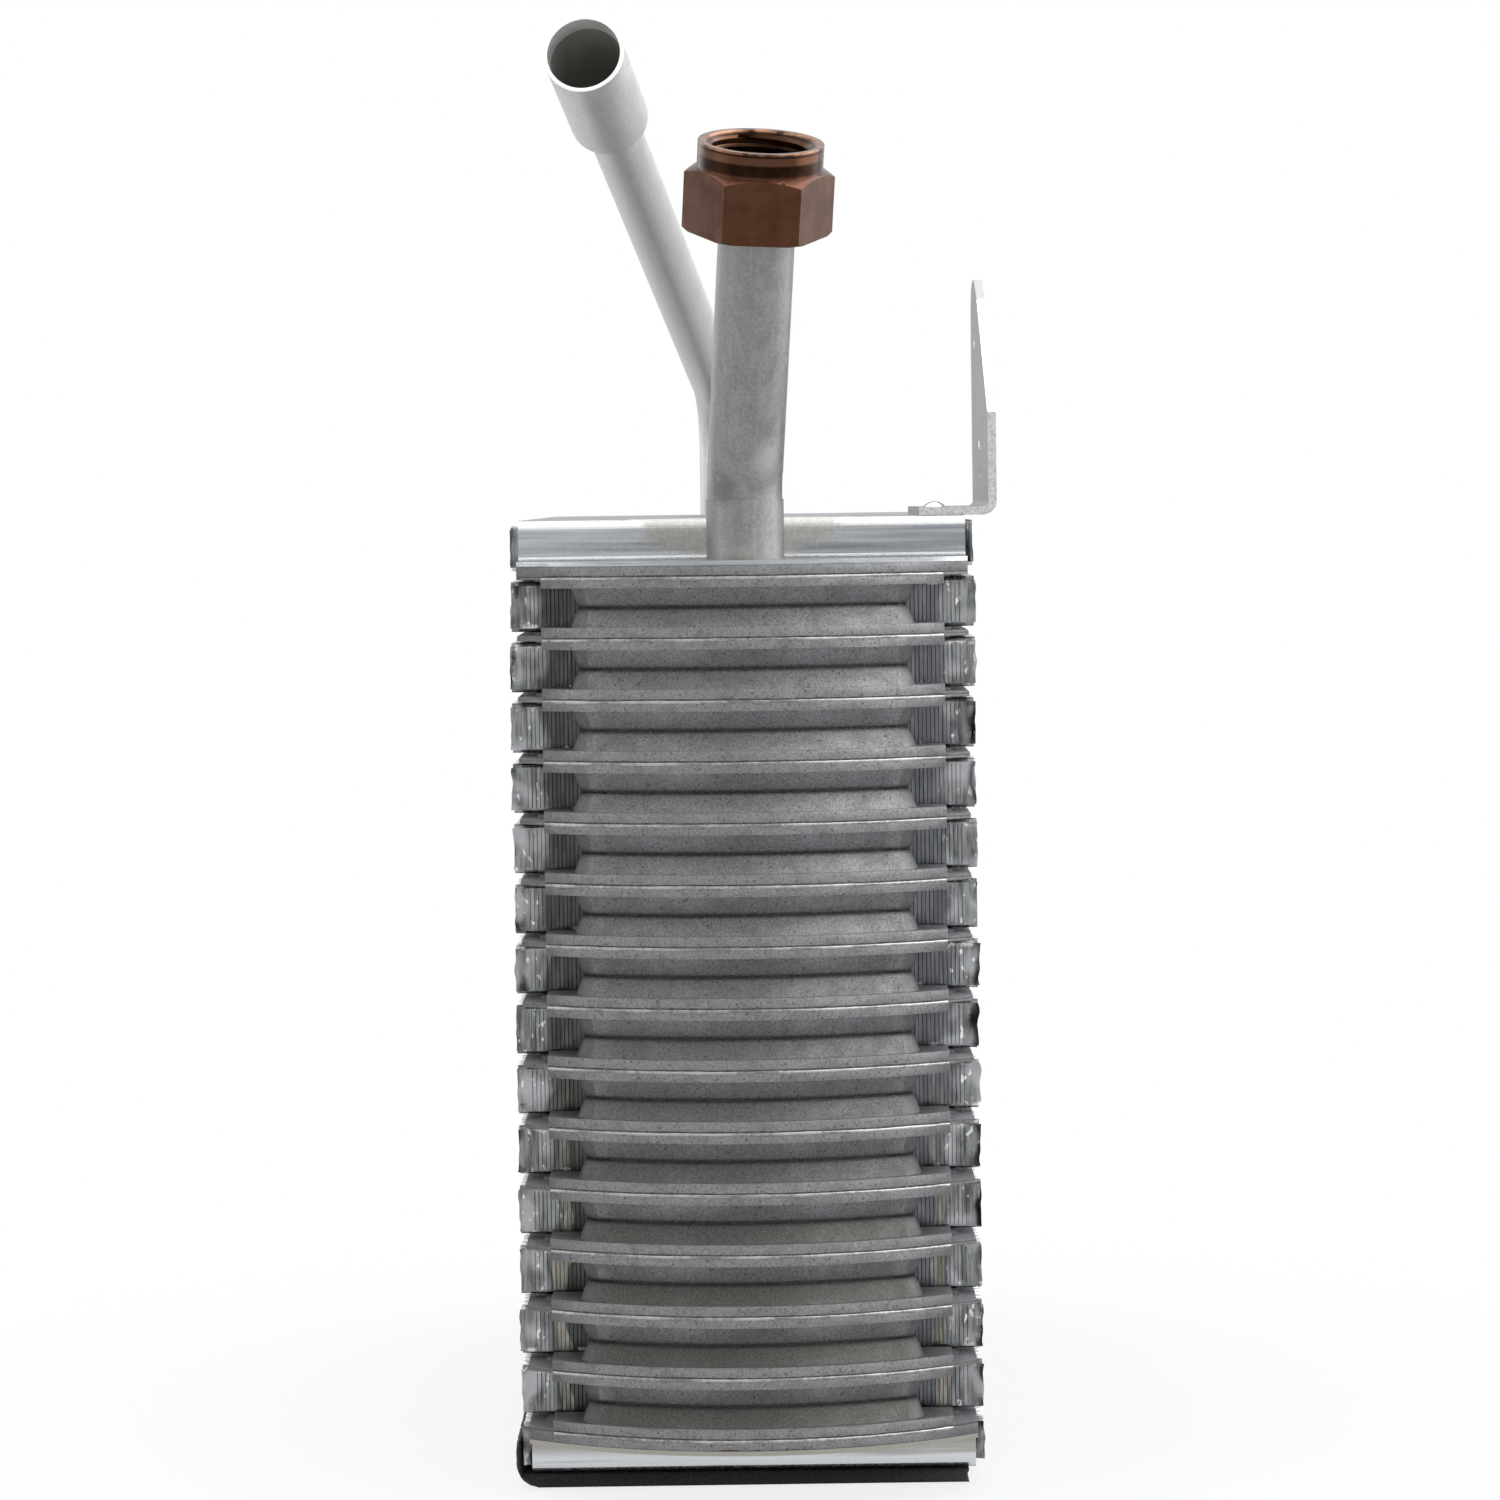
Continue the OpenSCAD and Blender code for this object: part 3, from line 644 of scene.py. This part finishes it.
FIN_T = 0.14 * MM                  # the foil's thickness
FIN_STEP = 2.2 * MM                # from one leg to the next
LEG_JITTER = 0.16                  # millimetres, as are the next three
ROW_LEFT, ROW_RIGHT = 0.1, 0.45    # how far a whole row may end short of its box
END_JITTER = 0.2                   # and each of its legs short of the row
FIN_FOLD = 0.75 * MM               # the height of the bend between two legs
FOLD_STEPS = 6
FOLD_SHAPE = 0.7                   # a power of the sine; lower is squarer
LOUVRE = 0.86 * MM                 # the width of a louvre, about
LOUVRE_TURN = math.radians(16)
LOUVRE_JITTER = (0.8, 1.15)        # shares of that turn
LOUVRE_MARGIN = 0.4 * MM           # the plain foil above and below the louvres
EDGE_STRIP = 3.1 * MM              # the plain foil at both ends of a leg
MIDDLE_STRIP = 3.4 * MM
BENT_ACROSS, BENT_UP = 9, 10       # quads of a bent strip
BENT_REACH, BENT_FLARE = (-0.5, 1.1), (0.0, 0.35)   # millimetres out of the row, and sideways
BENT_WAVE, BENT_CRINKLE = 0.9 * MM, 0.5 * MM        # unevenness of the same two
BENT_CURVE = 1.6                   # a power of the share of the strip's width


def bent_strip(g, draw, x_in, x_out, y, z0, z1, outward):
    """The outer strip of an end leg, its edge pushed out or in as handling bends it."""
    reach = draw.uniform(*BENT_REACH) * MM
    seed = draw.uniform(0, 50)
    flare = math.copysign(draw.uniform(*BENT_FLARE) * MM, x_out)
    skins = []
    for side in (-1, 1):
        rows = []
        for a in range(BENT_ACROSS + 1):
            t = a / BENT_ACROSS
            x = x_in + (x_out - x_in) * t
            row = []
            for b in range(BENT_UP + 1):
                z = z0 + (z1 - z0) * b / BENT_UP
                wave = noise.noise(Vector((seed, t * 1.3, (z - z0) * 260)))
                push = outward * t ** BENT_CURVE * (reach + BENT_WAVE * wave)
                crinkle = noise.noise(Vector((seed + 9, 1.0, (z - z0) * 330)))
                bulge = t * t * (flare + math.copysign(BENT_CRINKLE, x_out) * crinkle)
                row.append((x + bulge, y + push + side * FIN_T / 2, z))
            rows.append(row)
        skins.append(rows)
        g.strip(rows)
    g.strip([[p, q] for p, q in zip(skins[0][-1], skins[1][-1])])


def fin_leg(g, draw, x0, x1, y, z0, z1, outward):
    """A leg: solid strips at both edges and in the middle, louvres between them.

    outward is -1 or 1 for the first and the last leg, whose edges are bent, and 0 for others.
    """
    strips = [(-MIDDLE_STRIP / 2, MIDDLE_STRIP / 2)]
    if outward:
        bent_strip(g, draw, x0 + EDGE_STRIP, x0, y, z0, z1, outward)
        bent_strip(g, draw, x1 - EDGE_STRIP, x1, y, z0, z1, outward)
    else:
        strips += [(x0, x0 + EDGE_STRIP), (x1 - EDGE_STRIP, x1)]
        for x in (x0, x1):
            g.quad((x, y - FIN_T / 2, z0), (x, y + FIN_T / 2, z0),
                   (x, y + FIN_T / 2, z1), (x, y - FIN_T / 2, z1))
    for a, b in strips:
        for side in (-1, 1):
            skin_y = y + side * FIN_T / 2
            g.quad((a, skin_y, z0), (b, skin_y, z0), (b, skin_y, z1), (a, skin_y, z1))

    low, high = z0 + LOUVRE_MARGIN, z1 - LOUVRE_MARGIN
    for sign, start, end in ((-1, x0 + EDGE_STRIP, -MIDDLE_STRIP / 2),
                             (1, MIDDLE_STRIP / 2, x1 - EDGE_STRIP)):
        g.quad((start, y, z0), (end, y, z0), (end, y, low), (start, y, low))
        g.quad((start, y, high), (end, y, high), (end, y, z1), (start, y, z1))
        count = int((end - start) / LOUVRE)
        pitch = (end - start) / count
        for j in range(count):
            x = start + (j + 0.5) * pitch
            turn = LOUVRE_TURN * sign * draw.uniform(*LOUVRE_JITTER)
            dx, dy = pitch / 2 * math.cos(turn), pitch / 2 * math.sin(turn)
            g.quad((x - dx, y - dy, low), (x + dx, y + dy, low),
                   (x + dx, y + dy, high), (x - dx, y - dy, high))


def fin_crest(g, x0, x1, y, next_y, z, rise, lowest, highest):
    """The bend from one leg to the next, in two skins with their edges."""
    r = (next_y - y) / 2
    line = [(y, z)]
    for j in range(1, FOLD_STEPS):
        a = math.pi * j / FOLD_STEPS
        line.append((y + r - r * math.cos(a), z + rise * math.sin(a) ** FOLD_SHAPE))
    line.append((next_y, z))
    skins = []
    for side in (-1, 1):
        skin = []
        for j, (py, pz) in enumerate(line):
            qy, qz = line[min(j + 1, len(line) - 1)]
            oy, oz = line[max(j - 1, 0)]
            along = Vector((0, qy - oy, qz - oz)).normalized()
            out = Vector((0, -along.z, along.y)) * side * FIN_T / 2
            skin.append((py + out.y, min(max(pz + out.z, lowest), highest)))
        skins.append(skin)
        g.strip([[(x0, py, pz), (x1, py, pz)] for py, pz in skin])
    for x in (x0, x1):
        g.strip([[(x, *a), (x, *b)] for a, b in zip(*skins)])


def fin_row(index):
    """The folded foil that stands for one of the CAD model's fin rows, in the same box."""
    name = "fin_row_%d" % index
    low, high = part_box(name)
    draw = random.Random(100 + index)
    left = low.x + draw.uniform(0, ROW_LEFT) * MM
    right = high.x - draw.uniform(0, ROW_RIGHT) * MM

    legs = round((high.y - low.y - FIN_T) / FIN_STEP)
    first = -legs * FIN_STEP / 2
    ys = [first + k * FIN_STEP + draw.uniform(-LEG_JITTER, LEG_JITTER) * MM
          for k in range(legs + 1)]
    ys[0], ys[-1] = first, -first

    z0 = low.z + FIN_T / 2 + FIN_FOLD
    z1 = high.z - FIN_T / 2 - FIN_FOLD
    g = Sheets()
    for k, y in enumerate(ys):
        x0 = left + draw.uniform(0, END_JITTER) * MM
        x1 = right - draw.uniform(0, END_JITTER) * MM
        fin_leg(g, draw, x0, x1, y, z0, z1, -1 if k == 0 else 1 if k == legs else 0)
        if k < legs:
            z, rise = (z1, FIN_FOLD) if k % 2 == 0 else (z0, -FIN_FOLD)
            fin_crest(g, x0, x1, y, ys[k + 1], z, rise, low.z, high.z)
    made = g.piece("fins_%d" % index, "fin")
    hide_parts(name)


for i in range(1, FIN_ROWS + 1):
    fin_row(i)


# nut: the turns of its thread stand a little inside the bore

THREAD_FROM, THREAD_TO = 9.9 * MM, 17.5 * MM
THREAD_PITCH = 1.81 * MM
THREAD_DEPTH = 0.42 * MM
THREAD_SINK = 0.03 * MM            # how far the turns' foot lies in the nut
THREAD_SECTION = ((-0.8, 0), (-0.18, 1), (0.18, 1), (0.8, 0))   # millimetres along, share of depth
STEPS_PER_TURN = 96


def nut_thread():
    side = NUT_AXIS.orthogonal().normalized()
    other = NUT_AXIS.cross(side)
    steps = int((THREAD_TO - THREAD_FROM) / THREAD_PITCH * STEPS_PER_TURN)
    run_in = STEPS_PER_TURN / 3
    rows = []
    for k in range(steps + 1):
        a = 2 * math.pi * k / STEPS_PER_TURN
        share = min(1.0, k / run_in, (steps - k) / run_in)
        ray = side * math.cos(a) + other * math.sin(a)
        along = THREAD_FROM + THREAD_PITCH * k / STEPS_PER_TURN
        row = []
        for lift, inward in THREAD_SECTION:
            r = NUT_BORE_R + THREAD_SINK - inward * THREAD_DEPTH * share
            row.append(tuple(NUT_FOOT + NUT_AXIS * (along + lift * MM) + ray * r))
        rows.append(row)
    g = Sheets()
    g.strip(rows)
    g.piece("nut_thread", "nut", body="nut")


nut_thread()
round_edges(nodes["pipe_nut"], 0.28 * MM, 3)
round_edges(nodes["inlet_pipe"], 0.35 * MM, 3, 50)


# foam: the pad under the core, with worn edges and its flap; in millimetres until it is meshed

FOAM_LEFT, FOAM_OUTER, FOAM_RIGHT = -49.55, -51.35, 46.2   # x of the flap's sides and the pad's end
FOAM_T = 3.3
FLAP_T, FLAP_H = 1.8, 11.2
FOAM_R = 5.0                       # the bend between the pad and the flap
FOAM_BEND_STEPS = 8
FOAM_END = 104.3                   # half the pad's length
FOAM_SLICES = 150
FOAM_END_ROUNDING = (0.45, 0.1)    # at the end slices and at those next to them
FOAM_GRID, FOAM_FINE_GRID = 3.0, 0.8   # between points on the long sides and on the others
LONG_SIDE = 20
FOAM_WEAR = ((0.16, 0.35, 0), (0.1, 1.1, 40))   # half its depth, frequency and shift of noise
FOAM_UNDER_WEAR = 0.02


def foam_section():
    """The pad's outline as (x, z), with a point at least every few millimetres."""
    corners = [(FOAM_RIGHT, FOAM_T), (FOAM_LEFT, FOAM_T), (FOAM_LEFT, FLAP_H),
               (FOAM_LEFT - FLAP_T / 2, FLAP_H), (FOAM_OUTER, FLAP_H - FLAP_T)]
    for k in range(FOAM_BEND_STEPS + 1):
        a = math.pi + math.pi / 2 * k / FOAM_BEND_STEPS
        corners.append((FOAM_OUTER + FOAM_R + FOAM_R * math.cos(a), FOAM_R + FOAM_R * math.sin(a)))
    corners.append((FOAM_RIGHT, 0.0))
    points = []
    for (ax, az), (bx, bz) in zip(corners, corners[1:] + corners[:1]):
        length = math.hypot(bx - ax, bz - az)
        grid = FOAM_GRID if length > LONG_SIDE else FOAM_FINE_GRID
        count = max(1, round(length / grid))
        points += [(ax + (bx - ax) * k / count, az + (bz - az) * k / count) for k in range(count)]
    return points


def foam_wear(x, y, z):
    """How much the pad has lost at a point of its surface; nothing to speak of underneath."""
    if z < 0.05:
        return FOAM_UNDER_WEAR
    return sum(half * (1 + noise.noise(Vector((x * often, y * often, z * often + shift))))
               for half, often, shift in FOAM_WEAR)


def foam_pad():
    section = foam_section()
    normals = []
    for (ax, az), (bx, bz) in zip(section[-1:] + section[:-1], section[1:] + section[:1]):
        length = math.hypot(bx - ax, bz - az)
        normals.append(((bz - az) / length, -(bx - ax) / length))
    rows = []
    for k in range(FOAM_SLICES + 1):
        y = -FOAM_END + 2 * FOAM_END * k / FOAM_SLICES
        from_end = min(k, FOAM_SLICES - k)
        rounding = FOAM_END_ROUNDING[from_end] if from_end < 2 else 0.0
        row = []
        for (x, z), (nx, nz) in zip(section, normals):
            depth = foam_wear(x, y, z) + rounding
            row.append(((x - nx * depth) * MM, y * MM, max(0.0, z - nz * depth) * MM))
        rows.append(row + row[:1])
    g = Sheets()
    g.strip(rows)
    g.polygon(rows[0][:-1], False)
    g.polygon(rows[-1][:-1], True)
    pad = g.piece("foam_pad", "foam", smooth=True)
    bm = bmesh.new()
    bm.from_mesh(pad.data)
    bmesh.ops.remove_doubles(bm, verts=bm.verts, dist=1e-6)
    bmesh.ops.recalc_face_normals(bm, faces=bm.faces)
    bm.to_mesh(pad.data)
    bm.free()
    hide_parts("foam_strip")


foam_pad()


# studio

WHITE = (1, 1, 1, 1)
LAMP_TARGET = (0, -0.12, 0.15)

LAMPS = (
    # name, place, target, width, height, watts, and whether it lights matt surfaces too
    ("top light", (0.0, 0.0, 1.25), (0, 0, 0.1), 1.1, 0.9, 6, True),
    ("left light", (-1.2, -0.35, 0.55), (0, 0, 0.15), 0.8, 1.0, 2, True),
    ("right light", (1.15, 0.05, 0.5), LAMP_TARGET, 1.3, 1.4, 12, False),
    ("back left light", (-0.8, 0.7, 0.5), LAMP_TARGET, 0.6, 1.0, 1.6, False),
    ("front right light", (0.8, -0.8, 0.85), LAMP_TARGET, 0.9, 0.9, 6, False),
    ("high right light", (0.62, 0.1, 1.1), LAMP_TARGET, 1.0, 1.2, 9.5, False),
)


def area_lamp(name, place, target, width, height, watts, on_matt):
    data = bpy.data.lights.new(name, "AREA")
    data.shape = "RECTANGLE"
    data.size, data.size_y, data.energy = width, height, watts
    lamp = bpy.data.objects.new(name, data)
    bpy.context.scene.collection.objects.link(lamp)
    lamp.location = place
    lamp.rotation_euler = (Vector(target) - Vector(place)).to_track_quat("-Z", "Y").to_euler()
    lamp.visible_diffuse = on_matt


def seen_or_mirrored(tree):
    """1 for rays from the camera and for those that metal or glass sends on."""
    path = tree.nodes.new("ShaderNodeLightPath")
    total = path.outputs["Is Camera Ray"]
    for kind in ("Is Glossy Ray", "Is Transmission Ray"):
        most = tree.nodes.new("ShaderNodeMath")
        most.operation = "MAXIMUM"
        tree.links.new(total, most.inputs[0])
        tree.links.new(path.outputs[kind], most.inputs[1])
        total = most.outputs[0]
    return total


def mix_shaders(tree, fac, first, second, output):
    mixed = tree.nodes.new("ShaderNodeMixShader")
    tree.links.new(fac, mixed.inputs["Fac"])
    tree.links.new(first.outputs[0], mixed.inputs[1])
    tree.links.new(second.outputs[0], mixed.inputs[2])
    tree.links.new(mixed.outputs[0], output.inputs["Surface"])


FLOOR_SIZE = 8
SHADOW_RADIUS = 0.3                # the floor shows its shadow within this of the middle
WHITE_NEAR = 0.8                   # the floor's share of plain white there; 1 further out


def floor():
    """Pale paper that the camera sees as white, apart from the object's shadow near it."""
    bpy.ops.mesh.primitive_plane_add(size=FLOOR_SIZE, location=(0, 0, 0))
    plane = bpy.context.object
    plane.name = "floor"
    s = Shader("floor paper", (0.9, 0.9, 0.9), 0.0, 0.9)
    white = s.node("ShaderNodeEmission")
    white.inputs["Color"].default_value = WHITE
    white.inputs["Strength"].default_value = 1.0
    near = s.spot((0, 0, 0), [SHADOW_RADIUS] * 3, 0.85)
    white_share = s.times(seen_or_mirrored(s.tree), s.ramp(near, 0.0, 1.0, 1.0, WHITE_NEAR))
    output = [n for n in s.tree.nodes if n.type == "OUTPUT_MATERIAL"][0]
    mix_shaders(s.tree, white_share, s.bsdf, white, output)
    plane.data.materials.append(s.material)


TENT_LOW, TENT_HIGH = 0.3, 0.85    # the strength of the soft tent at the horizon and above


def world():
    """White to the camera and in metal; for matt surfaces a soft tent, brighter above."""
    made = bpy.data.worlds.new("studio")
    bpy.context.scene.world = made
    made.use_nodes = True
    tree = made.node_tree
    tree.nodes.clear()

    split = tree.nodes.new("ShaderNodeSeparateXYZ")
    direction = tree.nodes.new("ShaderNodeTexCoord").outputs["Generated"]
    tree.links.new(direction, split.inputs[0])
    height = tree.nodes.new("ShaderNodeMapRange")
    height.interpolation_type = "SMOOTHSTEP"
    for key, value in (("From Min", 0.0), ("From Max", 0.9),
                       ("To Min", TENT_LOW), ("To Max", TENT_HIGH)):
        height.inputs[key].default_value = value
    tree.links.new(split.outputs["Z"], height.inputs["Value"])

    soft = tree.nodes.new("ShaderNodeBackground")
    soft.inputs["Color"].default_value = WHITE
    tree.links.new(height.outputs["Result"], soft.inputs["Strength"])
    white = tree.nodes.new("ShaderNodeBackground")
    white.inputs["Color"].default_value = WHITE
    white.inputs["Strength"].default_value = 1.0
    output = tree.nodes.new("ShaderNodeOutputWorld")
    mix_shaders(tree, seen_or_mirrored(tree), soft, white, output)


floor()
world()
for lamp_values in LAMPS:
    area_lamp(*lamp_values)


# camera: a metre before the near tank, level with the top of the core

CAMERA_PLACE = (0.0014, -1.131, 0.2126)
CAMERA_LENS, CAMERA_SENSOR = 115.67, 36   # millimetres
CAMERA_SHIFT = -0.05
CAMERA_DOWN, CAMERA_ROLL = 2.141, -0.789   # degrees


def camera():
    data = bpy.data.cameras.new("camera")
    data.sensor_width = CAMERA_SENSOR
    data.lens = CAMERA_LENS
    data.shift_y = CAMERA_SHIFT
    cam = bpy.data.objects.new("camera", data)
    bpy.context.scene.collection.objects.link(cam)
    cam.location = CAMERA_PLACE
    cam.rotation_euler = (Matrix.Rotation(math.radians(90 - CAMERA_DOWN), 3, "X")
                          @ Matrix.Rotation(math.radians(CAMERA_ROLL), 3, "Z")).to_euler()
    bpy.context.scene.camera = cam
    bpy.context.scene.view_settings.view_transform = "Standard"


camera()
